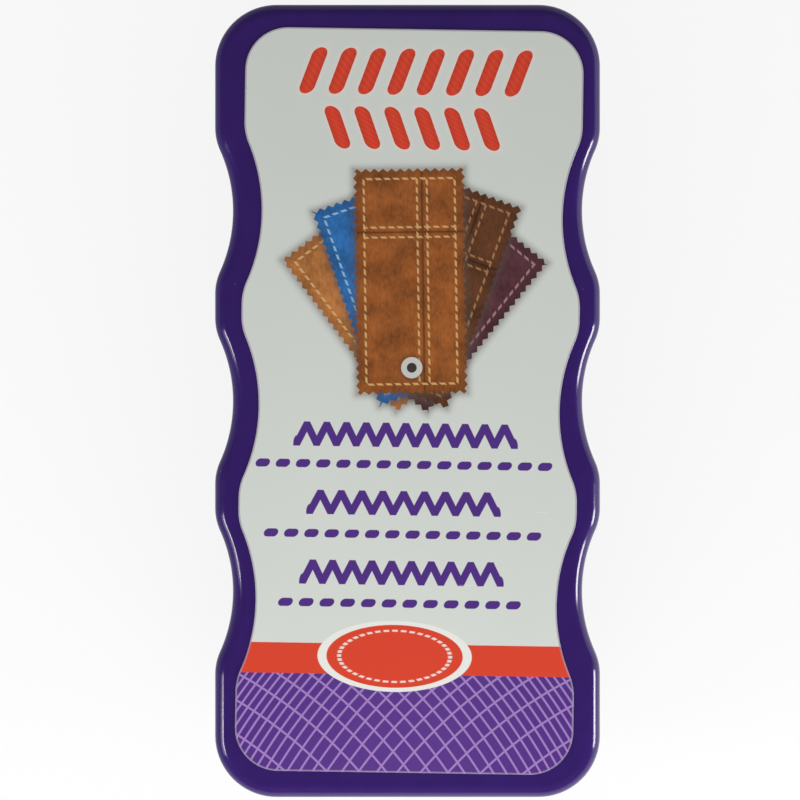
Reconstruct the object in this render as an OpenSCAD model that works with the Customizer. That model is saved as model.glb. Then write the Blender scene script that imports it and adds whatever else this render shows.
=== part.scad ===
// Suede brush: a moulded handle with waved sides, a printed label on its flat back, and a
// plate of nylon and brass tufts under it.
// Millimetres, +Z up. The bristle tips stand on z = 0, the long axis is Y, and the origin is
// the centre of the footprint.

/* [Handle] */
// Length of the handle along Y
body_length = 120; // [118:1:130]
// Width across the swells of the sides
body_width = 58.3; // [57:0.1:62]
// Depth of each waist below the swells, on one side
wave_depth = 2.7; // [0.5:0.1:3]
// Distance from one swell to the next
wave_pitch = 28.8; // [27:0.1:30]
// Radius of the hollow of each waist
waist_r = 22.3; // [20:0.1:25]
// Radius with which a waist runs out into the flat swells
swell_r = 8.3; // [6:0.1:9]
// Corner radius in plan
corner_r = 9.3; // [7.5:0.1:10]
// Height of the moulded handle
shell_height = 21.5; // [19:0.5:26]
// Width of the rounded shoulder between side and back
shoulder_w = 2.2; // [1.5:0.1:2.3]
// Drop of the rounded shoulder
shoulder_drop = 2.6; // [1.5:0.1:4]
// How far each side leans out from shoulder to foot
side_draft = 0.2; // [0:0.05:0.6]
// Thickness of the side walls
side_wall = 2.4; // [2.2:0.1:3]
// Thickness of the back
back_wall = 2.4; // [2:0.1:3]

/* [Label] */
// Length of the label
label_length = 111.9; // [108:0.1:112]
// Width of the label across its swells
label_width = 50.9; // [49:0.1:51]
// Depth of each waist of the label
label_depth = 2.8; // [2.6:0.1:3.4]
// Distance from one swell of the label to the next
label_pitch = 29.2; // [28.6:0.1:29.4]
// Radius of the hollow of each waist of the label
label_waist_r = 26.5; // [24:0.1:28]
// Radius with which a waist of the label runs out into the flat swells
label_swell_r = 8.5; // [6:0.1:9]
// Corner radius of the label
label_corner_r = 6.5; // [6:0.1:8]
// How far the waists of the label lie below the middle of its length
label_lag = 1.2; // [0:0.1:1.3]
// Thickness of the label film
label_thick = 0.2; // [0.1:0.05:0.4]
// Turn of the label as it was stuck on, clockwise from above, in degrees
label_turn = 0.9; // [0:0.1:0.9]
// Sideways slip of the label as it was stuck on
label_slip = 0.25; // [0:0.05:0.3]

/* [Bristle plate] */
// Depth of the plate inside the lip of the handle
lip_depth = 1; // [0.5:0.1:2]
// Thickness of the lip round the plate
lip_wall = 1.3; // [1.2:0.1:1.5]
// Gap between plate and lip
plate_gap = 0.15; // [0.1:0.05:0.3]
// Thickness of the plate's flange
flange_h = 3; // [3:0.5:4]
// Height of the tuft block above the flange
block_h = 4; // [4:0.5:5]
// Radius of the locating pins
pin_r = 1.95; // [1.5:0.05:2.2]

/* [Tufts] */
// Free length of the bristles below the plate
bristle_length = 14; // [10:0.5:18]
// Distance between rows
row_pitch = 5.9; // [5.6:0.1:6]
// Distance between tufts along a row
tuft_pitch = 7; // [6:0.1:7.1]
// Tufts in a long row
row_tufts = 16; // [10:1:16]
// Splay of each tuft from root to tip
tuft_splay = 0.75; // [0:0.05:0.9]
// Radius of a three sided bristle strand
strand_r = 0.4; // [0.3:0.02:0.42]

/* [Hidden] */
$fn = 48;

handle_purple = "#37206B";
label_grey = "#C9CDC6";
plate_purple = "#3D2673";
nylon_white = "#DCD9CC";
brass_gold = "#C49A45";
anchor_steel = "#A9ABAE";

// Heights, from the bristle tips up
plate_z = bristle_length;
shell_z = plate_z - lip_depth;
flange_top = plate_z + flange_h;
block_top = flange_top + block_h;
back_z = shell_z + shell_height;
roof_z = back_z - back_wall;

// Plans of the handle and of its label, each as [width, length, depth of the waists, pitch, hollow
// radius, swell radius, corner radius, lag of the waists]
handle_plan = [body_width, body_length, wave_depth, wave_pitch, waist_r, swell_r, corner_r, 0];
label_plan = [
    label_width, label_length, label_depth, label_pitch, label_waist_r, label_swell_r,
    label_corner_r, label_lag
];
waist_steps = 7;
swell_steps = 3;
corner_steps = 6;
shoulder_steps = 5;
foot_round = 0.5;
roof_fillet = 1.2;
inner_draft = 0.2;
block_gap = 1.4;

// Sockets, ribs and pins that locate the plate in the handle
socket_x = 11.8;
socket_y = 35;
socket_r = 3.8;
socket_gap = 0.1;
bore_r = pin_r + 0.05;
pin_h = 6;
pin_point = 0.8;
bore_extra = 0.6;
rib_t = 1.4;
rib_h = 4.5;
rib_reach = body_width / 2 - wave_depth - side_wall / 2;
bury = 0.6;

// Tufts
wave_amp = wave_depth / 2;
row_count = 8;
hole_r = 1.15;
hole_depth = 5.6;
hole_sides = 6;
strip_margin = 0.1;
strip_w = 2 * (wave_amp + hole_r + strip_margin);
strip_h = 1.2;
strip_over = 2.6;
root_w = 1.36;
root_h = 3.6;
root_turn = 35;
anchor_t = 0.45;
anchor_l = 1.9;
anchor_h = 1.5;
strand_ring = 0.68;
strand_count = 4;
strand_bury = 0.6;
tuft_turn = 47;

// Points along an arc, from one angle to another
function arc(centre, r, from, to, steps) =
    [for (i = [0 : steps]) let (a = from + (to - from) * i / steps) centre + r * [cos(a), sin(a)]];
function without_ends(pts) = [for (i = [1 : len(pts) - 2]) pts[i]];

// The right side of a waist whose middle is at y: a hollow arc between the two full ones that
// touch it and the flat swells
function waist(p, y) =
    let (
        flat_x = p[0] / 2,
        radii = p[4] + p[5],
        reach = sqrt(p[2] * (2 * radii - p[2])),
        turn = asin(reach / radii)
    )
    concat(
        arc([flat_x - p[5], y - reach], p[5], 0, turn, swell_steps),
        without_ends(arc([flat_x - p[2] + p[4], y], p[4], 180 + turn, 180 - turn, waist_steps)),
        arc([flat_x - p[5], y + reach], p[5], -turn, 0, swell_steps)
    );

// A plan drawn in by inset, and the outline of a plan as one loop, up the right side and down
// the left one
function drawn_in(p, inset) = [
    p[0] - 2 * inset, p[1] - 2 * inset, p[2], p[3], p[4] + inset, p[5] - inset, p[6] - inset, p[7]
];
function right_side(p) =
    let (cx = p[0] / 2 - p[6], cy = p[1] / 2 - p[6])
    concat(
        arc([cx, -cy], p[6], -90, 0, corner_steps),
        [for (k = [-1 : 1]) each waist(p, k * p[3] - p[7])],
        arc([cx, cy], p[6], 0, 90, corner_steps)
    );
function mirror_back(pts) = [for (i = [len(pts) - 1 : -1 : 0]) [-pts[i][0], pts[i][1]]];
function outline(p) = let (side = right_side(p)) concat(side, mirror_back(side));
function ring(inset, z) = [for (p = outline(drawn_in(handle_plan, inset))) [p[0], p[1], z]];

// Section of the handle's wall as [inset, z], from the edge of the back, down the outside, and
// up the inside to the edge of the roof
function wall_section() = concat(
    [for (i = [0 : shoulder_steps])
        let (a = 90 * i / shoulder_steps)
        [shoulder_w * (1 - sin(a)), back_z - shoulder_drop * (1 - cos(a))]],
    [
        [-side_draft, shell_z + foot_round],
        [foot_round - side_draft, shell_z],
        [lip_wall, shell_z],
        [lip_wall, flange_top],
        [side_wall, flange_top],
        [side_wall + inner_draft, roof_z - roof_fillet],
        [side_wall + roof_fillet, roof_z]
    ]
);

// One closed skin through rings of equal count, capped across at both ends
module ringed_solid(rings) {
    n = len(rings[0]);
    half = n / 2;
    last = (len(rings) - 1) * n;
    walls = [for (k = [0 : len(rings) - 2], i = [0 : n - 1])
        let (a = k * n + i, b = k * n + (i + 1) % n)
        each [[a, b, b + n], [a, b + n, a + n]]];
    top_cap = [for (i = [0 : half - 2])
        each [[i, n - 1 - i, n - 2 - i], [i, n - 2 - i, i + 1]]];
    end_cap = [for (i = [0 : half - 2])
        each [[last + i, last + i + 1, last + n - 2 - i], [last + i, last + n - 2 - i, last + n - 1 - i]]];
    polyhedron(points = [for (r = rings) each r], faces = concat(walls, top_cap, end_cap));
}

module at_sockets() {
    for (sx = [-1, 1], sy = [-1, 1])
        translate([sx * socket_x, sy * socket_y, 0])
            children();
}

// Ribs under the back tie the sockets together and to the side walls
module stiffening_ribs() {
    rib_z = roof_z - rib_h;
    for (sx = [-1, 1])
        translate([sx * socket_x - rib_t / 2, -socket_y, rib_z])
            cube([rib_t, 2 * socket_y, rib_h + bury]);
    for (y = [-socket_y, 0, socket_y])
        translate([-rib_reach, y - rib_t / 2, rib_z])
            cube([2 * rib_reach, rib_t, rib_h + bury]);
}

module handle_shell() {
    socket_z = block_top + socket_gap;
    color(handle_purple)
        difference() {
            union() {
                ringed_solid([for (s = wall_section()) ring(s[0], s[1])]);
                at_sockets()
                    translate([0, 0, socket_z])
                        cylinder(r = socket_r, h = roof_z - socket_z + bury);
                stiffening_ribs();
            }
            at_sockets()
                translate([0, 0, socket_z - bury])
                    cylinder(r = bore_r, h = bury + pin_h + bore_extra);
        }
}

module label() {
    color(label_grey)
        translate([label_slip, 0, back_z])
            rotate([0, 0, -label_turn])
                linear_extrude(label_thick)
                    polygon(outline(label_plan));
}

// Rows run along Y. The tufts of the nylon rows outside follow the waved sides, the outermost
// row fully and the next by half, and the brass rows in the middle run straight
function row_place(row) = row - (row_count + 1) / 2;
function wave_share(row) = max(0, 1 - (row_place(row_count) - abs(row_place(row))) / 2);
function row_x(row, y) =
    let (place = row_place(row))
    place * row_pitch - sign(place) * wave_share(row) * wave_amp * cos(360 * y / wave_pitch);
function tufts_in(row) = row_tufts - row % 2;
function tuft_y(row, i) = (i - (tufts_in(row) - 1) / 2) * tuft_pitch;
function tuft_place(row, i) = let (y = tuft_y(row, i)) [row_x(row, y), y];
function row_half(row) = (tufts_in(row) - 1) / 2 * tuft_pitch + strip_over;

// The strip of the plate's underside that a row of tufts stands in
module row_strip(row) {
    half = row_half(row);
    translate([row_place(row) * row_pitch - strip_w / 2, -half, plate_z])
        cube([strip_w, 2 * half, strip_h]);
}

// One straight bristle strand, of three sides: from its flat tip to the face of the plate, and
// a little way into the plate
module strand(root, tip, turn) {
    corners = [for (k = [0 : 2]) strand_r * [cos(turn + 120 * k), sin(turn + 120 * k)]];
    points = [for (level = [[tip, 0], [root, plate_z], [root, plate_z + strand_bury]], c = corners)
        [level[0][0] + c[0], level[0][1] + c[1], level[1]]];
    sides = [for (first = [0, 3], k = [0 : 2])
        let (a = first + k, b = first + (k + 1) % 3)
        each [[a, a + 3, b + 3], [a, b + 3, b]]];
    polyhedron(points = points, faces = concat(sides, [[0, 1, 2], [6, 8, 7]]));
}

module tuft_strands(row, i) {
    centre = tuft_place(row, i);
    for (s = [0 : strand_count - 1]) {
        turn = 360 * s / strand_count + tuft_turn * (i + 2 * row);
        way = [cos(turn), sin(turn)];
        strand(centre + strand_ring * way, centre + (strand_ring + tuft_splay) * way, turn);
    }
}

// The doubled root of a tuft, in its hole, up to the anchor that holds it
module tuft_root() {
    rotate([0, 0, root_turn])
        translate([-root_w / 2, -root_w / 2, plate_z + strip_h / 2])
            cube([root_w, root_w, root_h - strip_h / 2]);
}

module tuft_row(row) {
    row_strip(row);
    for (i = [0 : tufts_in(row) - 1]) {
        translate(tuft_place(row, i))
            tuft_root();
        tuft_strands(row, i);
    }
}

module nylon_row(row) {
    color(nylon_white)
        tuft_row(row);
}

module brass_row(row) {
    color(brass_gold)
        tuft_row(row);
}

module at_tufts() {
    for (row = [1 : row_count], i = [0 : tufts_in(row) - 1])
        translate(tuft_place(row, i))
            children();
}

module bristle_plate() {
    flange_inset = lip_wall + plate_gap;
    block_inset = side_wall + block_gap;
    color(plate_purple) {
        difference() {
            union() {
                translate([0, 0, plate_z])
                    linear_extrude(flange_h)
                        polygon(outline(drawn_in(handle_plan, flange_inset)));
                translate([0, 0, flange_top])
                    linear_extrude(block_h)
                        polygon(outline(drawn_in(handle_plan, block_inset)));
            }
            for (row = [1 : row_count])
                row_strip(row);
            at_tufts()
                translate([0, 0, plate_z + strip_h / 2])
                    cylinder(r = hole_r, h = hole_depth - strip_h / 2, $fn = hole_sides);
        }
        at_sockets() {
            translate([0, 0, block_top])
                cylinder(r = pin_r, h = pin_h - pin_point);
            translate([0, 0, block_top + pin_h - pin_point])
                cylinder(r1 = pin_r, r2 = pin_r - pin_point, h = pin_point);
        }
    }
}

module tuft_anchors() {
    color(anchor_steel)
        at_tufts()
            rotate([0, 0, root_turn])
                translate([-anchor_l / 2, -anchor_t / 2, plate_z + root_h])
                    cube([anchor_l, anchor_t, anchor_h]);
}

handle_shell();
label();
bristle_plate();
nylon_row(1);  // nylon_row_1
nylon_row(2);  // nylon_row_2
brass_row(3);  // brass_row_1
brass_row(4);  // brass_row_2
brass_row(5);  // brass_row_3
brass_row(6);  // brass_row_4
nylon_row(7);  // nylon_row_3
nylon_row(8);  // nylon_row_4
tuft_anchors();
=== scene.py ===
"""Suede brush: its finished surfaces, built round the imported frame.

Everything is in metres, +Z up, with the bristle tips on z = 0 and the handle's length along Y.
Textures and the label's print are worked out in millimetres, because their grain is that fine.
"""

import math
from functools import partialmethod

import bpy
import numpy as np
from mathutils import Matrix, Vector


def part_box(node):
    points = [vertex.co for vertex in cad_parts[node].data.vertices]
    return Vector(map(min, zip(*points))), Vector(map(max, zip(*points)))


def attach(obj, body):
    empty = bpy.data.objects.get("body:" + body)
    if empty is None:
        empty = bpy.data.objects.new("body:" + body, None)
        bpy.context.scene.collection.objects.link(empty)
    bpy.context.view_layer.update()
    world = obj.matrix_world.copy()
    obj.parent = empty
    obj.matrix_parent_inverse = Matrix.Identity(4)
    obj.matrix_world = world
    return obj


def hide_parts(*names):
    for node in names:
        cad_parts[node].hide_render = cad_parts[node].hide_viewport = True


bl_info = {
    "name": "Suede Brush",
    "version": (1, 0, 0),
    "blender": (4, 5, 0),
    "location": "3D View > Sidebar > Suede Brush",
    "description": "Builds the surfaces of a suede brush: handle, label, plate and bristles",
    "category": "Add Mesh",
}

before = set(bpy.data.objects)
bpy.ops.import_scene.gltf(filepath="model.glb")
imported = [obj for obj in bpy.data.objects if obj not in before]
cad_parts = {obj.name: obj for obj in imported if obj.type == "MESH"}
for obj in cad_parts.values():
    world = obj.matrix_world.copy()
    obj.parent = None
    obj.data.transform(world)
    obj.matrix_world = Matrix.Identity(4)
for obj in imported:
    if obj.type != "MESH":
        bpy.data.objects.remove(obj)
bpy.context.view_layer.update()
SHELL_LOW, SHELL_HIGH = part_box("handle_shell")
LABEL_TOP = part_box("label")[1].z
TUFTED_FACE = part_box("bristle_plate")[0].z

MM = 0.001
BODY = "root"
SMOOTH_ANGLE = math.radians(32)

# Small shapes of the mouldings, the film and the pins
SIDE_DRAFT = 0.2 * MM
FOOT_ROUND = 0.5 * MM
BACK_BORDER = 0.3 * MM
LIP_EASE = 0.12 * MM
ROOF_FILLET = 1.2 * MM
PLATE_EASE = 0.25 * MM
BURIED = 0.4 * MM
RIB_HALF = 0.7 * MM
RIB_DEPTH = 4.5 * MM
SOCKET_RADIUS = 3.8 * MM
SOCKET_DEPTH = 6.6 * MM
SOCKET_EASE = 0.2 * MM
SOCKET_GAP = 0.05 * MM
MOUTH_GAP = 0.1 * MM
PIN_LENGTH = 6 * MM
PIN_POINT = 0.8 * MM
PIN_ROOT = 0.5 * MM
FILM_ROUND = 0.07 * MM
HOLE_SWELL = 0.2 * MM
HOLE_GAP = 0.05 * MM
HOLE_RIM = 0.7 * MM

# Steps along the curved outlines and sections
CORNER_STEPS = 18
WAIST_STEPS = 28
SWELL_STEPS = 10
SHOULDER_STEPS = 16
EDGE_STEPS = 5
PIN_STEPS = 40
HOLE_STEPS = 20
HOLE_EDGE_STEPS = 7


def srgb(red, green, blue):
    """The linear colour of an 8 bit sRGB one."""
    channels = (c / 255 for c in (red, green, blue))
    return tuple(c / 12.92 if c <= 0.04045 else ((c + 0.055) / 1.055) ** 2.4 for c in channels)


def length_prop(name, description, millimetres):
    return bpy.props.FloatProperty(
        name=name, description=description, default=millimetres * MM, min=0.0, max=1.0,
        unit="LENGTH", precision=5,
    )


def count_prop(name, description, default):
    return bpy.props.IntProperty(name=name, description=description, default=default, min=3)


def colour_prop(name, description, default):
    return bpy.props.FloatVectorProperty(
        name=name, description=description, default=default, min=0.0, max=1.0,
        size=3, subtype="COLOR",
    )


def level_prop(name, description, default):
    return bpy.props.FloatProperty(name=name, description=description, default=default, min=0.0)


def wave_props(depth, pitch, lag, waist, swell, corner):
    """The properties of a waved outline, with their defaults in millimetres."""
    return {
        "wave_depth": length_prop("Wave Depth", "Depth of each waist below the swells", depth),
        "wave_pitch": length_prop("Wave Pitch", "Distance from one swell to the next", pitch),
        "wave_lag": length_prop("Wave Lag", "How far the waists lie below the middle", lag),
        "waist_radius": length_prop("Waist Radius", "Radius of the hollow of each waist", waist),
        "swell_radius": length_prop("Swell Radius", "Radius between waist and swell", swell),
        "corner": length_prop("Corner", "Corner radius in plan", corner),
    }


class HandleSettings(bpy.types.PropertyGroup):
    length: length_prop(
        "Length", "Length of the handle along Y", (SHELL_HIGH.y - SHELL_LOW.y - 2 * SIDE_DRAFT) / MM
    )
    width: length_prop(
        "Width", "Width across the swells", (SHELL_HIGH.x - SHELL_LOW.x - 2 * SIDE_DRAFT) / MM
    )
    back: length_prop("Back", "Height of the flat back above the bristle tips", SHELL_HIGH.z / MM)
    foot: length_prop("Foot", "Height of the handle's foot above the bristle tips", SHELL_LOW.z / MM)
    __annotations__.update(wave_props(2.7, 28.8, 0, 22.3, 8.3, 9.3))
    shoulder_width: length_prop("Shoulder Width", "Width of the rounded shoulder", 2.2)
    shoulder_drop: length_prop("Shoulder Drop", "Drop of the rounded shoulder", 2.6)
    wall: length_prop("Wall", "Thickness of the side walls and of the back", 2.4)
    lip_wall: length_prop("Lip", "Thickness of the lip round the plate", 1.3)
    colour: colour_prop("Colour", "Purple of the moulded handle", srgb(48, 24, 96))


class LabelSettings(bpy.types.PropertyGroup):
    length: length_prop("Length", "Length of the label", 111.9)
    width: length_prop("Width", "Width of the label across its swells", 50.9)
    __annotations__.update(wave_props(2.8, 29.2, 1.2, 26.5, 8.5, 6.5))
    top: length_prop("Top", "Height of the film's face above the bristle tips", LABEL_TOP / MM)
    slip: length_prop("Slip", "Sideways slip of the label as stuck on", 0.25)
    turn: bpy.props.FloatProperty(
        name="Turn", description="Turn of the label as stuck on, seen from above",
        default=math.radians(-0.9), unit="ROTATION",
    )
    ground: colour_prop("Ground", "Grey white of the unprinted film", srgb(207, 211, 205))
    red: colour_prop("Red", "Ink of the band, the badge and the bold stitches", srgb(212, 64, 40))
    violet: colour_prop("Violet", "Ink of the fine stitches and the netted field", srgb(78, 44, 128))
    lilac: colour_prop("Lilac", "Ink of the net", srgb(163, 127, 190))


class PlateSettings(bpy.types.PropertyGroup):
    face: length_prop("Face", "Height of the tufted face above the bristle tips", TUFTED_FACE / MM)
    flange: length_prop("Flange", "Thickness of the plate's flange", 3)
    block: length_prop("Block", "Height of the tuft block above the flange", 4)
    gap: length_prop("Gap", "Gap between plate and lip", 0.15)
    block_gap: length_prop("Block Gap", "Gap between tuft block and side walls", 1.4)
    pin_radius: length_prop("Pin Radius", "Radius of the locating pins", 1.95)
    pin_x: length_prop("Pin X", "Distance of the pins from the middle, across", 11.8)
    pin_y: length_prop("Pin Y", "Distance of the pins from the middle, along", 35)
    colour: colour_prop("Colour", "Purple of the moulded plate", srgb(62, 38, 116))


class TuftSettings(bpy.types.PropertyGroup):
    row_pitch: length_prop("Row Pitch", "Distance between rows", 5.9)
    tuft_pitch: length_prop("Tuft Pitch", "Distance between tufts along a row", 7)
    long_row: count_prop("Long Row", "Tufts in a long row; a short one has one fewer", 16)
    root_radius: length_prop("Root Radius", "Radius of a tuft where it leaves its hole", 0.98)
    tip_radius: length_prop("Tip Radius", "Radius of a tuft at its tips", 2.5)
    nylon_count: count_prop("Nylon Filaments", "Filaments in a nylon tuft", 50)
    nylon_radius: length_prop("Nylon Radius", "Radius of a nylon filament", 0.15)
    brass_count: count_prop("Brass Wires", "Wires in a brass tuft", 54)
    brass_radius: length_prop("Brass Radius", "Radius of a brass wire", 0.1)
    crimp: length_prop("Crimp", "Height of the crimp in the brass wires", 0.16)
    crimp_length: length_prop("Crimp Length", "Length of one crimp", 3.4)
    nylon_colour: colour_prop("Nylon", "Colour of the natural nylon", srgb(240, 237, 226))
    brass_colour: colour_prop("Brass", "Colour of the brass", srgb(240, 208, 138))


class StageSettings(bpy.types.PropertyGroup):
    distance: length_prop("Distance", "From the camera to the back of the brush", 360)
    height_seen: length_prop("Height Seen", "What the picture's height spans at the back", 120.4)
    aside: length_prop("Aside", "How far the camera stands to the left", 1.14)
    ahead: length_prop("Ahead", "How far the camera stands towards the top of the print", 0.14)
    ambient: level_prop("Ambient", "Level of the room's soft light", 0.49)
    reflected: level_prop("Reflected", "Level of the room as gloss shows it", 0.12)


# Shapes

def arc(centre, radius, start, stop, steps):
    """Points along an arc: its centre plus its radius times the cosine and sine of equal turns."""
    turn = np.linspace(start, stop, steps + 1)
    return np.column_stack([centre[0] + radius * np.cos(turn), centre[1] + radius * np.sin(turn)])


def waist(plan, y, inset):
    """The right side of the waist at y, drawn in by inset.

    A hollow arc lies between two full ones. The distance between their centres is the sum of their
    radii, so they touch, and each full one ends along the flat swell beside it.
    """
    flat = 0.5 * plan.width - inset
    hollow, full = plan.waist_radius + inset, plan.swell_radius - inset
    reach = math.sqrt(plan.wave_depth * (2 * (hollow + full) - plan.wave_depth))
    turn = math.asin(reach / (hollow + full))
    middle = (flat - plan.wave_depth + hollow, y)
    return np.vstack([
        arc((flat - full, y - reach), full, 0, turn, SWELL_STEPS),
        arc(middle, hollow, math.pi + turn, math.pi - turn, WAIST_STEPS)[1:-1],
        arc((flat - full, y + reach), full, -turn, 0, SWELL_STEPS),
    ])


def plan_loop(plan, inset):
    """A plan drawn in by inset, as one closed loop of points, seen from above.

    The right side climbs y as a quarter circle, three waists and a quarter circle, with straight
    stretches between them. The left side is the right one mirrored and taken back down.
    """
    corner = plan.corner - inset
    x = 0.5 * plan.width - inset - corner
    y = 0.5 * plan.length - inset - corner
    right = np.vstack([
        arc((x, -y), corner, -0.5 * math.pi, 0, CORNER_STEPS),
        *(waist(plan, step * plan.wave_pitch - plan.wave_lag, inset) for step in (-1, 0, 1)),
        arc((x, y), corner, 0, 0.5 * math.pi, CORNER_STEPS),
    ])
    return np.vstack([right, right[::-1] * (-1, 1)])


def quarter(start, stop, steps=EDGE_STEPS, level=False):
    """Points of an elliptic quarter from start to stop. It leaves upright and comes in level, or the
    other way round if level is set."""
    turn = np.linspace(0, np.pi / 2, steps + 1)
    share = np.column_stack([1 - np.cos(turn), np.sin(turn)])
    if level:
        share = share[:, ::-1]
    return np.asarray(start) + np.subtract(stop, start) * share


def quads_between(levels, around, looped=False):
    """Quads from each ring of points down to the next, and from the last to the first if looped."""
    level = np.arange(levels if looped else levels - 1)[:, None] * around
    after = (level + around) % (levels * around)
    here = np.arange(around)
    beside = (here + 1) % around
    corners = [level + here, after + here, after + beside, level + beside]
    return np.stack(corners, axis=-1).reshape(-1, 4)


def ringed_shell(rings):
    """Points and faces of a closed skin through stacked rings of shape (rings, loop, 3).

    Both end rings are closed by a ladder of quads, whose rungs join a point of the right side to the
    one opposite.
    """
    count, loop = rings.shape[:2]
    rung = np.arange(loop // 2 - 1)
    top = np.stack([rung, rung + 1, loop - 2 - rung, loop - 1 - rung], axis=-1)
    end = (count - 1) * loop + top[:, ::-1]
    return rings.reshape(-1, 3), [quads_between(count, loop), top, end]


def plan_shell(plan, section):
    """A ringed shell whose rings are plan loops, one for each (inset, height) of the section."""
    rings = [np.insert(plan_loop(plan, inset), 2, height, axis=1) for inset, height in section]
    return ringed_shell(np.array(rings))


def tubes(centres, radii, sides, turns, looped=False):
    """Points and faces of many closed tubes at once, along Z.

    centres has the shape (tubes, levels, 3) and radii (tubes, levels). A level's ring is its centre
    plus its radius times the cosine and sine of equal turns, begun at the tube's own turn. The
    levels go down, and one flat face closes each end. A looped tube comes back up inside itself,
    to its first level, and has no ends.
    """
    count, levels = radii.shape
    angle = turns[:, None] + 2 * np.pi * np.arange(sides) / sides
    ring = np.stack([np.cos(angle), np.sin(angle), np.zeros_like(angle)], axis=-1)
    points = centres[:, :, None] + radii[:, :, None, None] * ring[:, None]
    tube = np.arange(count)[:, None] * levels * sides
    walls = tube[..., None] + quads_between(levels, sides, looped)
    first = tube + np.arange(sides)
    last = first[:, ::-1] + (levels - 1) * sides
    ends = [] if looped else [first, last]
    return points.reshape(-1, 3), [walls.reshape(-1, 4), *ends]


def turned(centres, profile, sides, looped=False):
    """Closed solids of revolution about vertical lines at centres, from one (radius, height) profile
    that goes down the outside, so that each is a tube whose rings have the profile's radii."""
    places = np.zeros((len(centres), len(profile), 3))
    places[:, :, :2] = np.asarray(centres)[:, None]
    places[:, :, 2] = profile[:, 1]
    radii = np.broadcast_to(profile[:, 0], places.shape[:2])
    return tubes(places, radii, sides, np.zeros(len(centres)), looped)


def block(low, high):
    """A box between two corners."""
    (x0, y0, z0), (x1, y1, z1) = low, high
    rings = [[(x0, y0, z), (x1, y0, z), (x1, y1, z), (x0, y1, z)] for z in (z1, z0)]
    return ringed_shell(np.array(rings))


def add_object(name, data):
    """A new object at the origin, linked to the scene."""
    added = bpy.data.objects.new(name, data)
    bpy.context.scene.collection.objects.link(added)
    return added


def add_piece(name, shells, replaced, material):
    """Makes one piece from shells, each a pair of points and face arrays."""
    starts = np.cumsum([0] + [len(points) for points, _ in shells[:-1]])
    points = np.vstack([points for points, _ in shells])
    faces = [
        face
        for (_, arrays), start in zip(shells, starts)
        for array in arrays
        for face in (array + start).tolist()
    ]
    mesh = bpy.data.meshes.new(name)
    mesh.from_pydata(points.tolist(), [], faces)
    mesh.polygons.foreach_set("use_smooth", np.ones(len(faces), dtype=bool))
    mesh.set_sharp_from_angle(angle=SMOOTH_ANGLE)
    if mesh.validate():
        raise RuntimeError(f"{name} has faces that don't hold together")
    mesh.materials.append(material)
    piece = add_object(name, mesh)
    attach(piece, BODY)
    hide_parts(*replaced)
    return piece


def point_attribute(piece, name, values):
    """Stores one number a vertex, for the material to read."""
    attribute = piece.data.attributes.new(name, "FLOAT", "POINT")
    attribute.data.foreach_set("value", np.asarray(values, dtype=np.float32))


# Materials

def feed(value, slot):
    """Links a field or a socket to the slot, or gives it a plain value."""
    if isinstance(value, Field):
        value = value.socket
    if isinstance(value, bpy.types.NodeSocket):
        slot.id_data.links.new(value, slot)
    else:
        slot.default_value = value


def add_node(tree, kind, settings=(), **inputs):
    """A new shader node with these settings and inputs, by name with _ for a space."""
    node = tree.nodes.new(f"ShaderNode{kind}")
    for name, value in settings:
        setattr(node, name, value)
    for name, value in inputs.items():
        feed(value, node.inputs[name.replace("_", " ")])
    return node


class Field:
    """A number that a material works out anew at each point, with the usual signs of arithmetic."""

    def __init__(self, socket):
        self.socket = socket

    def math(self, operation, *others, clamp=False):
        """A Math node on this number and up to two others."""
        settings = (("operation", operation), ("use_clamp", clamp))
        node = add_node(self.socket.id_data, "Math", settings)
        for value, slot in zip((self, *others), node.inputs):
            feed(value, slot)
        return Field(node.outputs[0])

    __add__ = partialmethod(math, "ADD")
    __sub__ = partialmethod(math, "SUBTRACT")
    __mul__ = partialmethod(math, "MULTIPLY")
    __truediv__ = partialmethod(math, "DIVIDE")
    __abs__ = partialmethod(math, "ABSOLUTE")
    power = partialmethod(math, "POWER")
    below = partialmethod(math, "LESS_THAN")
    least = partialmethod(math, "MINIMUM")
    most = partialmethod(math, "MAXIMUM")

    def repeat(self, pitch):
        """The distance from the middle of the cell that the point is in, for cells of this pitch."""
        return self.math("WRAP", 0.5 * pitch, -0.5 * pitch)

    def fade(self, low, high):
        """Nought at low and one at high, straight between them."""
        scale = 1.0 / (high - low)
        return self.math("MULTIPLY_ADD", scale, -low * scale, clamp=True)

    def inside(self, soft=0.06):
        """One where a distance is negative, nought where it is positive, with a soft edge."""
        return self.fade(0.5 * soft, -0.5 * soft)


def split(vector):
    """The parts of a vector or colour."""
    node = add_node(vector.id_data, "SeparateXYZ", Vector=vector)
    return [Field(output) for output in node.outputs]


def mix(share, *colours):
    """The first colour where share is nought and the second where it is one."""
    node = add_node(share.socket.id_data, "Mix", [("data_type", "RGBA")])
    feed(share, node.inputs[0])
    for colour, slot in zip(colours, node.inputs[6:8]):
        linked = isinstance(colour, bpy.types.NodeSocket)
        feed(colour if linked else (*colour, 1.0), slot)
    return node.outputs[2]


def hypotenuse(a, b):
    """Square root of the sum of two squares."""
    return (a * a + b * b).math("SQRT")


def bar(across, along, half_length, radius):
    """Distance from a bar with round ends: that from its middle line, less its radius."""
    past = (abs(along) - half_length).most(0.0)
    return hypotenuse(across, past) - radius


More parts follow.
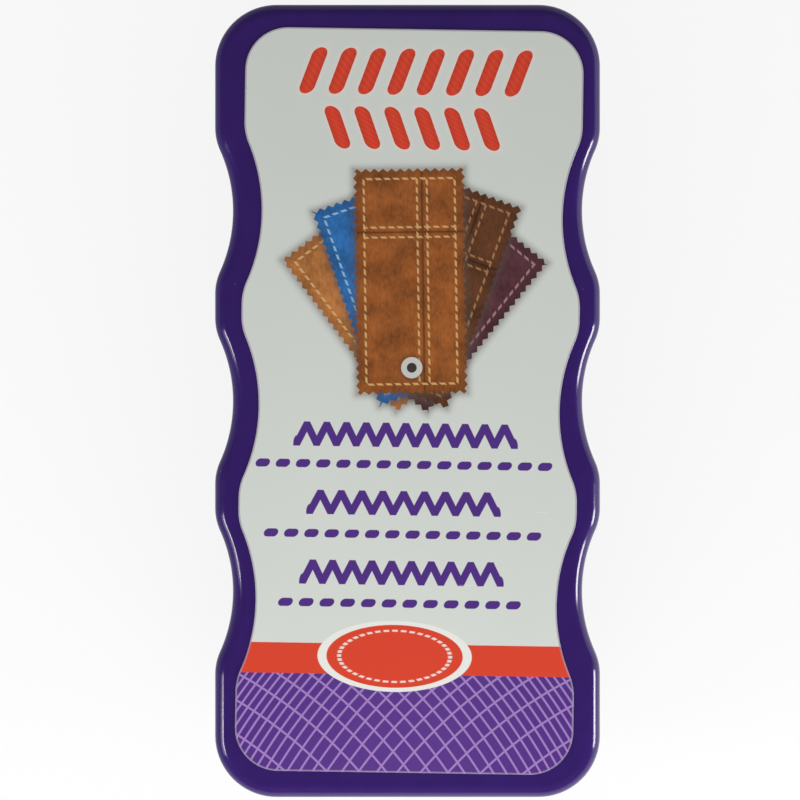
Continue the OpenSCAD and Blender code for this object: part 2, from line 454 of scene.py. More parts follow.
class Finish:
    """A material under way: its node tree, its shader and its place in millimetres."""

    def __init__(self, name):
        self.material = bpy.data.materials.new(name)
        self.material.use_nodes = True
        self.tree = self.material.node_tree
        self.shader = self.tree.nodes["Principled BSDF"]
        where = add_node(self.tree, "TexCoord").outputs["Object"]
        self.place = self.scaled(where, 1 / MM)

    def scaled(self, vector, factor):
        """A vector or colour times a number."""
        return add_node(
            self.tree, "VectorMath", [("operation", "SCALE")], Vector=vector, Scale=factor
        ).outputs[0]

    def mapped(self, kind, place=None, location=(0, 0, 0), turn=0.0, scale=(1, 1, 1)):
        """place seen from a frame that is moved, turned about Z and scaled."""
        return add_node(
            self.tree, "Mapping", [("vector_type", kind)], Vector=place or self.place,
            Location=location, Rotation=(0, 0, turn), Scale=scale,
        ).outputs[0]

    def noise(self, scale, detail=2.0, roughness=0.5, place=None):
        """Cloudy noise of that many cells a millimetre, from nought to one."""
        node = add_node(
            self.tree, "TexNoise", Vector=place or self.place, Scale=scale, Detail=detail,
            Roughness=roughness,
        )
        return Field(node.outputs[0])

    def specks(self, scale, size, share, place=None):
        """Round specks in one cell of a lattice out of many: where the point is within size of the
        cell's own point, and the cell's own random number is under the share."""
        node = add_node(self.tree, "TexVoronoi", Vector=place or self.place, Scale=scale)
        near = (Field(node.outputs["Distance"]) - size * scale).inside(size * scale)
        chance = split(node.outputs["Color"])[0].below(share)
        return near * chance

    def scratches(self, turn, length, scale, share):
        """Hairlines: specks drawn out, along one way, to that many times their width."""
        drawn = self.mapped("POINT", turn=turn, scale=(1 / length, 1, 1))
        return self.specks(scale, 0.035, share, drawn)

    def attribute(self, name):
        """The number stored at the piece's vertices under this name."""
        node = add_node(self.tree, "Attribute", [("attribute_name", name)])
        return Field(node.outputs["Fac"])

    def put(self, **values):
        """Gives the shader's inputs, by name with _ for a space."""
        for name, value in values.items():
            feed(value, self.shader.inputs[name.replace("_", " ")])

    def done(self, relief, depth, **values):
        """The material, with these inputs and with relief, from nought to one, of that depth in mm."""
        node = add_node(self.tree, "Bump", Distance=depth * MM, Height=relief)
        self.put(Normal=node.outputs["Normal"], **values)
        return self.material


def gloss_moulding(colour):
    """Polished purple moulding: slow waves in the wall from cooling, hairline scratches from use,
    a little smudged gloss and a few specks of dust."""
    finish = Finish("purple_gloss_moulding")
    waves = finish.noise(0.09, roughness=0.4)
    smudge = finish.noise(0.22, 4.0, 0.6)
    hairs = finish.scratches(0.6, 45, 0.6, 0.16).most(finish.scratches(-1.1, 30, 0.5, 0.14))
    dust = finish.specks(0.42, 0.07, 0.16)
    base = finish.scaled(colour, smudge * 0.3 + 0.86)
    worn = mix(hairs * 0.4, base, srgb(110, 96, 150))
    return finish.done(
        waves * 0.75 + hairs * -0.12 + dust * 0.25,
        0.035,
        Base_Color=mix(dust * 0.55, worn, srgb(160, 152, 182)),
        Roughness=smudge * 0.1 + hairs * 0.2 + 0.08,
        Specular_IOR_Level=0.45,
    )


def satin_moulding(colour):
    """Satin purple moulding of the plate: fine spark eroded grain, with bristle dust in it."""
    finish = Finish("purple_satin_moulding")
    grain = finish.noise(5.0, 3.0, 0.6)
    cloud = finish.noise(0.15, 3.0)
    dust = finish.specks(0.9, 0.09, 0.1)
    base = finish.scaled(colour, cloud * 0.35 + 0.82)
    base = mix(dust * 0.5, base, srgb(180, 160, 130))
    return finish.done(grain, 0.02, Base_Color=base, Roughness=grain * 0.15 + cloud * 0.1 + 0.36)


# The label's print, in millimetres from the middle of the label, X to the right and Y up

SEAM_ROWS = (
    # middle, left end, right end, stitches, half height, lean
    (49.5, -17.4, 17.9, 8, 3.5, 0.36),
    (41.0, -13.7, 13.3, 6, 3.2, -0.36),
)
ZIGZAG_ROWS = (
    # middle, left end, right end, teeth
    (-5.15, -16.8, 15.9, 11),
    (-15.4, -14.7, 13.5, 9),
    (-25.9, -15.6, 14.1, 10),
)
ZIGZAG_HEIGHT = 3.0
ZIGZAG_RADIUS = 0.55
DASH_ROWS = (
    # middle, left end, right end, dashes
    (-9.6, -23.4, 22.1, 15),
    (-20.1, -22.0, 20.6, 14),
    (-30.5, -19.7, 17.7, 12),
)
DASH_RADIUS = 0.62
DASH_SHARE = 0.7
DASH_LEAN = 0.3
THREAD_TWIST = 0.9
BAND_Y = -38.9
BAND_HALF = 2.3
BADGE_CENTRE = (-1.6, -38.45)
BADGE_HALF = (11.6, 5.35)
BADGE_RIM = 0.62
BADGE_THREAD = 1.5
BADGE_STITCHES = 40
NET_CENTRE = (56.0, -100.0)
NET_GROWTH = 2.6e-7
NET_LINE = 0.15
PINK_PITCH = 1.3
PINK_DEPTH = 0.5
FAN_PIVOT = (0.3, 5.0)
FAN_TAIL = 4.0
RIVET_RADIUS = 1.6
RIVET_HOLE = 0.75
EDGE_THREAD = 1.55
SEAM_THREAD = 0.75
THREAD_PITCH = 1.35
PALE_THREAD = srgb(216, 172, 112)
FAN = (
    # lean, half width, half length, dye, thread, crossed seams, from the back of the fan to its front
    (0.66, 6.0, 14.4, srgb(176, 112, 58), PALE_THREAD, None),
    (-0.66, 6.2, 14.6, srgb(84, 46, 54), srgb(170, 130, 130), None),
    (0.35, 6.6, 15.6, srgb(40, 104, 168), srgb(150, 190, 220), None),
    (-0.34, 7.2, 16.2, srgb(96, 56, 31), srgb(168, 122, 80), (1.2, 6.0)),
    (0.03, 8.4, 17.0, srgb(146, 82, 34), PALE_THREAD, (1.9, 7.4)),
)


def row_cells(x, y, row, lean):
    """A leaning row cut into cells. Gives their pitch, how far the point is up from the row's middle
    and along from its cell's middle, and one between the row's ends."""
    middle, left, right, count = row
    pitch = (right - left) / count
    up = y - middle
    sideways = x - up * lean - 0.5 * (left + right)
    along = (sideways + 0.5 * pitch * (1 - count % 2)).repeat(pitch)
    return pitch, up, along, abs(sideways).below(0.5 * (right - left))


def paint_seam_rows(finish, colour, x, y, ink):
    """Rows of leaning whip stitches, each a bar with round ends, shaded across and along as twisted
    thread is, with a pale glow round it."""
    for *row, half_height, lean in SEAM_ROWS:
        pitch, up, across, within = row_cells(x, y, row, lean)
        radius = 0.26 * pitch
        stitch = bar(across, up, half_height - radius, radius)
        twist = (up + across * 0.8).repeat(THREAD_TWIST)
        shade = abs(across) * (-0.22 / radius) + abs(twist) * (-0.4 / THREAD_TWIST) + 1.16
        halo = stitch.fade(0.75, 0.1) * within
        colour = mix(halo * 0.3, colour, srgb(240, 214, 204))
        colour = mix(stitch.inside() * within, colour, finish.scaled(ink, shade))
    return colour


def paint_zigzag_rows(colour, x, y, ink):
    """Rows of zigzag stitch: the distance from a triangle wave, taken square to its slope, with its
    turns cut level and its two ends rounded."""
    for middle, left, right, teeth in ZIGZAG_ROWS:
        pitch = (right - left) / teeth
        up = y - middle
        run = x - left
        held = run.most(0.0).least(right - left)
        wave = held.math("PINGPONG", 0.5 * pitch) * (2 * ZIGZAG_HEIGHT / pitch) - 0.5 * ZIGZAG_HEIGHT
        square = math.cos(math.atan(2 * ZIGZAG_HEIGHT / pitch))
        thread = hypotenuse(run - held, (up - wave) * square) - ZIGZAG_RADIUS
        thread = thread.most(abs(up) - (0.5 * ZIGZAG_HEIGHT + 0.6 * ZIGZAG_RADIUS))
        colour = mix(thread.inside(0.08), colour, ink)
    return colour


def paint_dash_rows(colour, x, y, ink):
    """Rows of leaning running stitches: in each cell of a row, a bar that lies along it."""
    for row in DASH_ROWS:
        pitch, up, along, within = row_cells(x, y, row, DASH_LEAN)
        dash = bar(up, along, 0.5 * DASH_SHARE * pitch - DASH_RADIUS, DASH_RADIUS)
        colour = mix(dash.inside(0.08) * within, colour, ink)
    return colour


def paint_swatch(finish, colour, place, nap, swatch):
    """One swatch of the fan: a rectangle with pinked edges, brushed nap, a row of stitches inside its
    edge, crossed seams where it has them, and a soft shadow round it."""
    lean, half_x, half_y, dye, thread, seam = swatch
    out = half_y - FAN_TAIL
    centre = (FAN_PIVOT[0] - out * math.sin(lean), FAN_PIVOT[1] + out * math.cos(lean), 0)
    x, y = split(finish.mapped("TEXTURE", place, centre, lean))[:2]
    tooth_x, tooth_y = (
        part.math("PINGPONG", 0.5 * PINK_PITCH) * (2 * PINK_DEPTH / PINK_PITCH) for part in (x, y)
    )
    side_x = abs(x) - half_x
    side_y = abs(y) - half_y
    cut = (side_x + tooth_y).most(side_y + tooth_x)
    straight = side_x.most(side_y)
    shadow = hypotenuse(side_x.most(0.0), side_y.most(0.0)).fade(1.3, -0.3).power(2.0)
    colour = mix(shadow * 0.7, colour, srgb(86, 76, 70))
    pile = finish.scaled(dye, nap)
    pile = mix(straight.fade(-2.2, -0.3) * 0.35, pile, tuple(0.35 * c for c in dye))
    dashed = abs((x + y).repeat(THREAD_PITCH)) - 0.42
    stitch = (abs(straight + EDGE_THREAD) - 0.16).most(dashed)
    if seam is not None:
        from_x, from_y = abs(x - seam[0]), abs(y - seam[1])
        lines = abs(from_x - SEAM_THREAD).least(abs(from_y - SEAM_THREAD)) - 0.15
        stitch = stitch.least(lines.most(dashed).most(straight + 1.5))
        fold = (from_x.least(from_y) - 0.13).most(straight + 0.3)
        pile = mix(fold.inside(0.3) * 0.75, pile, tuple(0.2 * c for c in dye))
    pile = mix(stitch.inside(0.1) * 0.85, pile, thread)
    return mix(cut.inside(0.1), colour, pile)


def paint_samples(finish, colour, place):
    """The fan of suede swatches and the rivet that it turns on."""
    brushed = finish.mapped("POINT", place, turn=0.5, scale=(1.0, 0.45, 1.0))
    fibre = finish.noise(2.6, 3.0, 0.65, brushed)
    cloud = finish.noise(0.28, 3.0, 0.55, place)
    nap = fibre + cloud * 1.5 - 0.25
    for swatch in FAN:
        colour = paint_swatch(finish, colour, place, nap, swatch)
    x, y = split(place)[:2]
    ring = hypotenuse(x - FAN_PIVOT[0], y - FAN_PIVOT[1])
    colour = mix(ring.fade(2.3, 1.5) * 0.6, colour, srgb(48, 34, 26))
    colour = mix((ring - RIVET_RADIUS).inside(0.1), colour, srgb(196, 196, 190))
    return mix((ring - RIVET_HOLE).inside(0.1), colour, srgb(60, 52, 50))


def paint_foot(colour, x, y, look):
    """The netted violet field, the red band over it and the plain oval badge on the band.

    The net is two families of circles about far centres below, left and right. Their count grows as
    the fourth power of the radius, so that the spacing closes up on the far side of each.
    """
    field = (y - (BAND_Y - BAND_HALF + 0.05)).inside()
    lines = []
    for side in (-1, 1):
        radius = hypotenuse(x - side * NET_CENTRE[0], y - NET_CENTRE[1])
        cube = radius * radius * radius
        count = (cube * radius * NET_GROWTH).repeat(1.0)
        lines.append(abs(count) / (cube * (4 * NET_GROWTH)) - NET_LINE)
    net = lines[0].least(lines[1]).inside(0.08)
    wash = mix(abs(x).fade(26.0, 6.0) * 0.5, look.violet, srgb(94, 58, 138))
    netted = mix(net * 0.9, wash, look.lilac)
    colour = mix(field, colour, netted)
    band = (abs(y - BAND_Y) - BAND_HALF).inside()
    colour = mix(band, colour, look.red)
    across, up = x - BADGE_CENTRE[0], y - BADGE_CENTRE[1]
    half_x, half_y = BADGE_HALF
    out = (hypotenuse(across / half_x, up / half_y) - 1.0) * half_y
    colour = mix(out.inside(), colour, srgb(226, 226, 220))
    colour = mix((out + BADGE_RIM).inside(), colour, look.red)
    angle = (up * half_x).math("ARCTAN2", across * half_y)
    dashed = abs(angle.repeat(math.tau / BADGE_STITCHES)) - 0.05
    stitch = (abs(out + BADGE_THREAD) - 0.14).inside(0.1) * dashed.inside(0.02)
    return mix(stitch * 0.9, colour, srgb(238, 222, 214))


def printed_film(look):
    """Printed glossy film: the layers of print in register on the label, a grey-lilac line round its
    edge that is the pale cut edge where it crosses the violet print and a painted shade on the white
    ground, grey scuffs, dust, and the slight ripple of a film rubbed down by hand."""
    finish = Finish("printed_film")
    place = finish.mapped("TEXTURE", location=(look.slip / MM, 0, 0), turn=look.turn)
    x, y = split(place)[:2]
    cloud = finish.noise(0.05)
    colour = finish.scaled(look.ground, cloud * 0.06 + 0.97)
    colour = paint_seam_rows(finish, colour, x, y, look.red)
    colour = paint_samples(finish, colour, place)
    colour = paint_zigzag_rows(colour, x, y, look.violet)
    colour = paint_dash_rows(colour, x, y, look.violet)
    colour = paint_foot(colour, x, y, look)
    # Painted shade along the edge: over its last 0.3 mm the film goes grey-lilac, darker than the white
    # ground. On the violet print the same line is paler and stands for the cut edge.
    edge = finish.attribute("edge_distance").fade(0.3, 0.18)
    colour = mix(edge * 0.7, colour, srgb(150, 140, 160))
    scuff = finish.scratches(0.9, 40, 0.6, 0.16).most(finish.scratches(-0.4, 25, 0.5, 0.12))
    grime = finish.specks(0.33, 0.11, 0.07)
    lint = finish.specks(0.29, 0.09, 0.06, finish.mapped("POINT", place, location=(7.3, 3.1, 0)))
    colour = mix(grime * 0.4, colour, srgb(110, 108, 100))
    colour = mix(lint.most(scuff) * 0.6, colour, srgb(235, 232, 236))
    relief = finish.noise(0.07) + scuff * 0.05 + grime * 0.1
    return finish.done(relief, 0.03, Base_Color=colour, Roughness=cloud * 0.1 + scuff * 0.2 + 0.2)


def nylon_finish(colour):
    """Natural nylon: each filament a shade of its own, duller where it is cut, with a painted shade that
    greys it towards its root, and with fine drawing lines along it."""
    finish = Finish("nylon_filament")
    own = finish.attribute("strand_shade")
    down = finish.attribute("strand_run")
    lines = finish.noise(9.0, place=finish.mapped("POINT", scale=(1, 1, 0.1)))
    base = finish.scaled(colour, own * 0.22 + lines * 0.08 + 0.76)
    # Painted shade: a lilac grey over the quarter of each filament nearest its root, where the tuft
    # enters the plate.
    base = mix(down.fade(0.25, 0.0) * 0.3, base, srgb(170, 160, 168))
    base = mix(down.fade(0.9, 1.0) * 0.3, base, srgb(244, 240, 228))
    rough = own * 0.15 + down.fade(0.93, 1.0) * 0.3 + 0.26
    return finish.done(lines, 0.004, Base_Color=base, Roughness=rough)


def brass_finish(colour):
    """Brass wire: drawn bright, each wire a shade of its own, browner with tarnish towards the root
    and rubbed bright at the tips."""
    finish = Finish("brass_wire")
    own = finish.attribute("strand_shade")
    down = finish.attribute("strand_run")
    cloud = finish.noise(0.35, 3.0, 0.6)
    lines = finish.noise(12.0, place=finish.mapped("POINT", scale=(1, 1, 0.08)))
    base = finish.scaled(colour, own * 0.22 + lines * 0.12 + 0.78)
    dull = down.fade(0.6, 0.05) * 0.2 + cloud.fade(0.5, 0.8) * 0.22
    base = mix(dull, base, srgb(164, 120, 66))
    rough = own * 0.1 + dull * 0.25 + 0.3
    return finish.done(lines, 0.003, Base_Color=base, Metallic=0.8, Roughness=rough)


def steel_finish():
    """Flat steel wire: rolled lines along the clips and a few dull spots."""
    finish = Finish("rolled_steel")
    lines = finish.noise(8.0, place=finish.mapped("POINT", turn=0.61, scale=(0.15, 1, 1)))
    spots = finish.noise(1.2, 3.0, 0.6)
    base = mix(spots.fade(0.55, 0.75) * 0.4, srgb(188, 190, 193), srgb(126, 118, 110))
    rough = lines * 0.2 + spots * 0.15 + 0.2
    return finish.done(lines, 0.006, Base_Color=base, Metallic=1.0, Roughness=rough)


# Pieces

class BRUSH_OT_handle(bpy.types.Operator):
    """Build the moulded handle shell, hollow below, with its sockets and ribs"""

    bl_idname = "brush.handle"
    bl_label = "Handle Shell"

    def execute(self, context):
        shape, plate = context.scene.brush_handle, context.scene.brush_plate
        shells = [plan_shell(shape, handle_section(shape, plate)), *handle_inside(shape, plate)]
        material = gloss_moulding(shape.colour)
        add_piece("handle_skin", shells, ["handle_shell"], material)
        return {"FINISHED"}


def handle_section(shape, plate):
    """Section of the handle's wall as (inset, height): over the shoulder, an elliptic quarter whose
    tangents are level and upright; down the leaning side; round the foot, a quarter circle; up the
    lip and the inner wall; and on to the roof."""
    shoulder = (shape.shoulder_width, shape.back)
    foot = (-SIDE_DRAFT, shape.foot + FOOT_ROUND)
    roof = shape.back - shape.wall
    flange_top = plate.face + plate.flange
    return np.vstack([
        [(shape.shoulder_width + BACK_BORDER, shape.back)],
        quarter(shoulder, (0, shape.back - shape.shoulder_drop), SHOULDER_STEPS, level=True),
        quarter(foot, (FOOT_ROUND - SIDE_DRAFT, shape.foot)),
        [
            (shape.lip_wall - LIP_EASE, shape.foot), (shape.lip_wall, shape.foot + LIP_EASE),
            (shape.lip_wall, flange_top), (shape.wall, flange_top),
        ],
        quarter((shape.wall, roof - ROOF_FILLET), (shape.wall + ROOF_FILLET, roof)),
    ])


def pin_places(plate):
    return [(sx * plate.pin_x, sy * plate.pin_y) for sx in (-1, 1) for sy in (-1, 1)]


def handle_inside(shape, plate):
    """The sockets for the plate's pins, each turned from a profile that starts in its bore, and the
    ribs that tie them together."""
    roof = shape.back - shape.wall
    mouth = plate.face + plate.flange + plate.block + MOUTH_GAP
    bore = plate.pin_radius + SOCKET_GAP
    profile = np.array([
        (bore, mouth + SOCKET_DEPTH), (bore, mouth + SOCKET_EASE), (bore + SOCKET_EASE, mouth),
        (SOCKET_RADIUS - SOCKET_EASE, mouth), (SOCKET_RADIUS, mouth + SOCKET_EASE),
        (SOCKET_RADIUS, roof + BURIED),
    ])
    reach = 0.5 * shape.width - shape.wave_depth - 0.5 * shape.wall
    low, high = roof - RIB_DEPTH, roof + BURIED
    along = [
        block((x - RIB_HALF, -plate.pin_y, low), (x + RIB_HALF, plate.pin_y, high))
        for x in (-plate.pin_x, plate.pin_x)
    ]
    across = [
        block((-reach, y - RIB_HALF, low), (reach, y + RIB_HALF, high))
        for y in (-plate.pin_y, 0, plate.pin_y)
    ]
    return [turned(pin_places(plate), profile, PIN_STEPS), *along, *across]


class BRUSH_OT_label(bpy.types.Operator):
    """Build the printed label as a film with a rounded edge, turned and slipped as it was stuck on"""

    bl_idname = "brush.label"
    bl_label = "Label"

    def execute(self, context):
        shape, look = context.scene.brush_handle, context.scene.brush_label
        section = film_section(shape, look)
        points, faces = plan_shell(look, section)
        cosine, sine = math.cos(look.turn), math.sin(look.turn)
        points[:, :2] = points[:, :2] @ [(cosine, sine), (-sine, cosine)] + (look.slip, 0)
        material = printed_film(look)
        piece = add_piece("label_film", [(points, faces)], ["label"], material)
        inward = np.repeat(section[:, 0], len(points) // len(section))
        point_attribute(piece, "edge_distance", inward / MM)
        return {"FINISHED"}


def film_section(shape, look):
    """Section of the film as (inset from its edge, height): flat rings that mark the distance from
    the edge, then a rounded edge, a quarter circle, down to the back of the handle."""
    flat = np.array([1.2, 0.7, 0.4, 0.28, 0.16]) * MM
    level = np.column_stack([flat, np.full(len(flat), look.top)])
    edge = quarter((FILM_ROUND, look.top), (0, look.top - FILM_ROUND), level=True)
    return np.vstack([level, edge, [(0, shape.back)]])


class BRUSH_OT_plate(bpy.types.Operator):
    """Build the plate that carries the tufts: flange, tuft block, pins and swollen hole edges"""

    bl_idname = "brush.plate"
    bl_label = "Bristle Plate"

    def execute(self, context):
        scene = context.scene
        shape, plate, tufts = scene.brush_handle, scene.brush_plate, scene.brush_tufts
        material = satin_moulding(plate.colour)
        shells = [
            plan_shell(shape, plate_section(shape, plate)),
            turned(pin_places(plate), pin_profile(plate), PIN_STEPS),
            turned(all_tufts(shape, tufts), hole_edge(plate, tufts), HOLE_STEPS, looped=True),
        ]
        add_piece("plate_skin", shells, ["bristle_plate"], material)
        return {"FINISHED"}


def plate_section(shape, plate):
    """Section of the plate as (inset, height), from the block's top down to the tufted face, with
    eased edges."""
    flange = shape.lip_wall + plate.gap
    block_in = shape.wall + plate.block_gap
    flange_top = plate.face + plate.flange
    block_top = flange_top + plate.block
    ease = PLATE_EASE
    return np.vstack([
        [
            (block_in + 2 * ease, block_top), (block_in + ease, block_top),
            (block_in, block_top - ease), (block_in, flange_top),
            (flange + ease, flange_top), (flange, flange_top - ease),
        ],
        quarter((flange, plate.face + ease), (flange + ease, plate.face)),
        [(flange + 3 * ease, plate.face)],
    ])


def pin_profile(plate):
    """A pin from its chamfered point down into the block, as (radius, height)."""
    block_top = plate.face + plate.flange + plate.block
    tip = block_top + PIN_LENGTH
    return np.array([
        (plate.pin_radius - PIN_POINT, tip), (plate.pin_radius, tip - PIN_POINT),
        (plate.pin_radius, block_top - PIN_ROOT),
    ])


def hole_edge(plate, tufts):
    """The rim that swells up round a hole as its tuft is driven in: half an ellipse below the face,
    closed inside the plate, as (radius, height)."""
    turn = np.linspace(np.pi, 0, HOLE_EDGE_STEPS + 1)
    inner, outer = tufts.root_radius + HOLE_GAP, tufts.root_radius + HOLE_RIM
    middle, half = 0.5 * (inner + outer), 0.5 * (outer - inner)
    below = np.column_stack([middle - half * np.cos(turn), plate.face - HOLE_SWELL * np.sin(turn)])
    sunk = [(inner, plate.face + HOLE_SWELL), (outer, plate.face + HOLE_SWELL)]
    return np.vstack([below, sunk])


ROW_COUNT = 8
NYLON_ROWS = {"nylon_row_1": 1, "nylon_row_2": 2, "nylon_row_3": 7, "nylon_row_4": 8}
BRASS_ROWS = {"brass_row_1": 3, "brass_row_2": 4, "brass_row_3": 5, "brass_row_4": 6}
SEED = 4100
NYLON_LEVELS, NYLON_SIDES = 7, 4
NYLON_TIP = 0.72
BRASS_LEVELS, BRASS_SIDES = 13, 3
ROOT_PACKING = 0.93
ROOT_SUNK = 0.8 * MM
TIP_SCATTER = 0.28 * MM
TUFT_LEAN = 0.22 * MM
STRAND_LEAN = 0.16 * MM
STRAND_BEND = 0.1 * MM


def tuft_places(shape, tufts, row):
    """Centres of a row's tufts.

    y goes in equal steps about nought, and odd rows have one tuft fewer. x is the row's own place,
    and on the outer rows less a share of the side's wave: all of it on the outermost, half on the
    next and none further in.
    """
    count = tufts.long_row - row % 2
    y = (np.arange(count) - 0.5 * (count - 1)) * tufts.tuft_pitch
    place = row - 0.5 * (ROW_COUNT + 1)
    share = max(0.0, 1 - 0.5 * (0.5 * (ROW_COUNT - 1) - abs(place)))
    wave = 0.5 * shape.wave_depth * np.cos(2 * np.pi * y / shape.wave_pitch)
    x = place * tufts.row_pitch - math.copysign(share, place) * wave
    return np.column_stack([x, y])


def all_tufts(shape, tufts):
    return np.vstack([tuft_places(shape, tufts, row) for row in range(1, ROW_COUNT + 1)])


def packed_disc(count, rng):
    """count points spread evenly over a unit disc: the radius is the root of an even share, and the
    turn goes on by the golden angle, with a little scatter."""
    share = (np.arange(count) + 0.5) / count
    radius = np.sqrt(share)
    turn = np.arange(count) * np.pi * (3 - np.sqrt(5)) + rng.uniform(0, math.tau)
    scatter = rng.normal(0, 0.04, (count, 2))
    return np.column_stack([radius * np.cos(turn), radius * np.sin(turn)]) + scatter


def tuft_strands(centres, count, levels, tufts, face, rng):
    """Centre lines of all the strands of a row, with the shape (strands, levels, 3).

    In each tuft a strand's place over the disc stays the same, while the disc grows from the root's
    radius to the tip's by the power 1.3 of the way down. A bend, by the sine of a half turn over the
    way, and a lean, by its square, differ from strand to strand, and each tuft leans a little too.
    """
    disc = np.stack([packed_disc(count, rng) for _ in centres])
    down = np.linspace(0, 1, levels)
    root = tufts.root_radius * ROOT_PACKING
    spread = root + (tufts.tip_radius - root) * down ** 1.3
    lean = rng.normal(0, STRAND_LEAN, disc.shape) + rng.normal(0, TUFT_LEAN, (len(centres), 1, 2))
    bend = rng.normal(0, STRAND_BEND, disc.shape)
    flat = centres[:, None, None] + disc[:, :, None] * spread[:, None]
    flat = flat + lean[:, :, None] * down[:, None] ** 2
    flat = flat + bend[:, :, None] * np.sin(np.pi * down)[:, None]
    tip = rng.uniform(0, TIP_SCATTER, disc.shape[:2])
    height = face + ROOT_SUNK + (tip[..., None] - face - ROOT_SUNK) * down
    lines = np.concatenate([flat, height[..., None]], axis=-1)
    return lines.reshape(-1, levels, 3)


def lay_rows(scene, rows, count, radii, sides, material, crimps=False):
    """Lays each named row as closed tubes along its strands, with radii[i] at a strand's i-th level."""
    shape, tufts, face = scene.brush_handle, scene.brush_tufts, scene.brush_plate.face
    levels = len(radii)
    for name, row in rows.items():
        rng = np.random.default_rng(SEED + row)
        lines = tuft_strands(tuft_places(shape, tufts, row), count, levels, tufts, face, rng)
        if crimps:
            lines = crimped(lines, tufts, rng)
        strands = len(lines)
        turns = rng.uniform(0, math.tau, strands)
        shell = tubes(lines, np.broadcast_to(radii, lines.shape[:2]), sides, turns)
        piece = add_piece(f"{name}_bristles", [shell], [name], material)
        point_attribute(piece, "strand_shade", np.repeat(rng.uniform(0, 1, strands), levels * sides))
        run = np.repeat(np.linspace(0, 1, levels), sides)
        point_attribute(piece, "strand_run", np.tile(run, strands))


class BRUSH_OT_nylon(bpy.types.Operator):
    """Build the outer rows: tufts of straight nylon filaments with eased tips"""

    bl_idname = "brush.nylon"
    bl_label = "Nylon Rows"

    def execute(self, context):
        tufts = context.scene.brush_tufts
        radii = tufts.nylon_radius * np.ones(NYLON_LEVELS)
        radii[-1] *= NYLON_TIP
        material = nylon_finish(tufts.nylon_colour)
        lay_rows(
            context.scene, NYLON_ROWS, tufts.nylon_count, radii, NYLON_SIDES, material
        )
        return {"FINISHED"}


class BRUSH_OT_brass(bpy.types.Operator):
    """Build the middle rows: tufts of crimped brass wire"""

    bl_idname = "brush.brass"
    bl_label = "Brass Rows"

    def execute(self, context):
        tufts = context.scene.brush_tufts
        radii = tufts.brass_radius * np.ones(BRASS_LEVELS)
        material = brass_finish(tufts.brass_colour)
        lay_rows(
            context.scene, BRASS_ROWS, tufts.brass_count, radii, BRASS_SIDES, material,
            crimps=True,
        )
        return {"FINISHED"}


def crimped(lines, tufts, rng):
    """Moves each line from side to side, in a direction of its own, by a triangle wave of its height
    over the crimp's length."""
    count = len(lines)
    way = rng.uniform(0, math.tau, count)
    phase = rng.uniform(0, 1, count)
    turn = lines[..., 2] / tufts.crimp_length + phase[:, None]
    wave = tufts.crimp * (4 * np.abs(turn % 1 - 0.5) - 1)
    aside = np.stack([np.cos(way), np.sin(way)], axis=-1)
    lines = lines.copy()
    lines[..., :2] += wave[..., None] * aside[:, None]
    return lines


class BRUSH_OT_anchors(bpy.types.Operator):
    """Give the flat wire anchors in the plate their steel"""

    bl_idname = "brush.anchors"
    bl_label = "Tuft Anchors"

    def execute(self, context):
        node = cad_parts["tuft_anchors"]
        node.data.materials.clear()
        node.data.materials.append(steel_finish())
        return {"FINISHED"}


# Stage

FLOOR_REACH = 3.0
FLOOR_WHITE = (0.85, 0.85, 0.85, 1)
FLOOR_GLOW = 0.82
LAMP_AIM_Y = -0.01
LAMPS = (
    # name, place, width and height, radiance, whether gloss shows it
    ("window_left", (-0.43, -0.17, 0.31), (0.16, 0.07), 20, True),
    ("sill_left", (-0.45, -0.17, 0.19), (0.16, 0.14), 2.5, True),
    ("window_right", (0.5, -0.12, 0.11), (0.15, 0.14), 20, True),
    ("fill_foot", (0.02, -0.22, 0.15), (0.3, 0.14), 3.4, False),
)


def soft_box(target, name, place, size, radiance, mirrored):
    """A rectangular lamp that looks at target, with the power that gives it that radiance."""
    data = bpy.data.lights.new(name, "AREA")
    data.shape = "RECTANGLE"
    data.size, data.size_y = size
    data.energy = radiance * size[0] * size[1] * math.pi
    lamp = add_object(name, data)
    lamp.location = place
    lamp.rotation_euler = (Vector(target) - Vector(place)).to_track_quat("-Z", "Y").to_euler()
    lamp.visible_camera = False
    lamp.visible_glossy = mirrored


def seen_directly(tree):
    """One for camera rays, and one for rays that gloss or glass sends on."""
    path = add_node(tree, "LightPath")
    kinds = ("Is Camera Ray", "Is Glossy Ray", "Is Transmission Ray")
    camera, glossy, through = (Field(path.outputs[kind]) for kind in kinds)
    return camera, glossy.most(through)


def light_room(stage):
    """A pale room: the camera sees white, matt surfaces an even level, and gloss a dim room with a
    white wall low down all round, brightest on the right."""
    world = bpy.data.worlds.new("pale_room")
    bpy.context.scene.world = world
    world.use_nodes = True
    tree = world.node_tree
    right, _, height = split(add_node(tree, "TexCoord").outputs["Generated"])
    camera, reflected = seen_directly(tree)
    room = reflected * (stage.reflected - stage.ambient) + stage.ambient
    wall = height.fade(0.2, 0.06) * (right.fade(-0.4, 0.6) * 0.7 + 0.3) * reflected
    sky = tree.nodes["Background"]
    feed((1, 1, 1, 1), sky.inputs["Color"])
    feed(room.most(wall).most(camera), sky.inputs["Strength"])


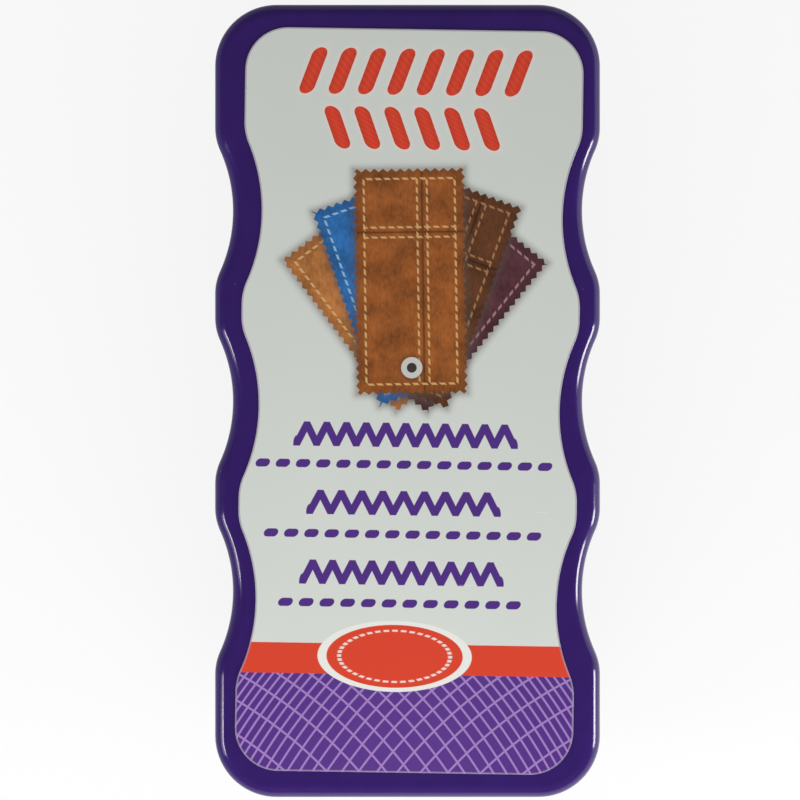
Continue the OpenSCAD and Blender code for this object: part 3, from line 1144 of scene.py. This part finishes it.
def floor_finish():
    """Pale floor: matt white that takes the shadow, with most of its brightness given to the rays that
    see it directly. Gloss sees it darken towards the far left, as in a room lit from the near right."""
    finish = Finish("pale_floor")
    tree = finish.tree
    finish.put(Base_Color=FLOOR_WHITE, Roughness=0.9, Specular_IOR_Level=0.1)
    camera, reflected = seen_directly(tree)
    x, y, _ = split(finish.place)
    near_right = (x - y * 0.6).fade(-100, 120).power(1.5) * 0.75 + 0.25
    glow = add_node(tree, "Emission", Strength=near_right.most(camera))
    blend = add_node(tree, "MixShader", Fac=camera.most(reflected) * FLOOR_GLOW)
    feed(finish.shader.outputs[0], blend.inputs[1])
    feed(glow.outputs[0], blend.inputs[2])
    feed(blend.outputs[0], tree.nodes["Material Output"].inputs["Surface"])
    return finish.material


class BRUSH_OT_stage(bpy.types.Operator):
    """Set up the floor, the soft light and the camera that looks straight down at the back"""

    bl_idname = "brush.stage"
    bl_label = "Stage"

    def execute(self, context):
        stage = context.scene.brush_stage
        back = context.scene.brush_handle.back
        points = [(x * FLOOR_REACH, y * FLOOR_REACH, 0) for x, y in ((-1, -1), (1, -1), (1, 1), (-1, 1))]
        mesh = bpy.data.meshes.new("floor")
        mesh.from_pydata(points, [], [(0, 1, 2, 3)])
        mesh.materials.append(floor_finish())
        add_object("floor", mesh)

        for lamp in LAMPS:
            soft_box((0, LAMP_AIM_Y, back), *lamp)
        light_room(stage)

        data = bpy.data.cameras.new("camera")
        data.lens = data.sensor_width * stage.distance / stage.height_seen
        data.clip_start, data.clip_end = 0.01, 20
        camera = add_object("camera", data)
        camera.location = (-stage.aside, stage.ahead, back + stage.distance)
        context.scene.camera = camera
        context.scene.view_settings.view_transform = "Standard"
        return {"FINISHED"}


SETTINGS = {
    "brush_handle": HandleSettings,
    "brush_label": LabelSettings,
    "brush_plate": PlateSettings,
    "brush_tufts": TuftSettings,
    "brush_stage": StageSettings,
}
OPERATORS = (
    BRUSH_OT_stage, BRUSH_OT_handle, BRUSH_OT_label, BRUSH_OT_plate, BRUSH_OT_nylon,
    BRUSH_OT_brass, BRUSH_OT_anchors,
)


class BRUSH_PT_build(bpy.types.Panel):
    """Lists the pieces of the brush with their sizes and colours"""

    bl_idname = "BRUSH_PT_build"
    bl_label = "Suede Brush"
    bl_space_type = "VIEW_3D"
    bl_region_type = "UI"
    bl_category = "Suede Brush"

    def draw(self, context):
        for operator in OPERATORS:
            self.layout.operator(operator.bl_idname)
        for group, kind in SETTINGS.items():
            box = self.layout.box()
            box.label(text=group.replace("brush_", "").title())
            for name in kind.__annotations__:
                box.prop(getattr(context.scene, group), name)


CLASSES = (*SETTINGS.values(), *OPERATORS, BRUSH_PT_build)


def register():
    for kind in CLASSES:
        bpy.utils.register_class(kind)
    for group, kind in SETTINGS.items():
        setattr(bpy.types.Scene, group, bpy.props.PointerProperty(type=kind))


def unregister():
    for group in SETTINGS:
        delattr(bpy.types.Scene, group)
    for kind in reversed(CLASSES):
        bpy.utils.unregister_class(kind)


def main():
    register()
    bpy.ops.brush.stage()
    bpy.ops.brush.handle()
    bpy.ops.brush.label()
    bpy.ops.brush.plate()
    bpy.ops.brush.nylon()
    bpy.ops.brush.brass()
    bpy.ops.brush.anchors()


if __name__ == "__main__":
    main()
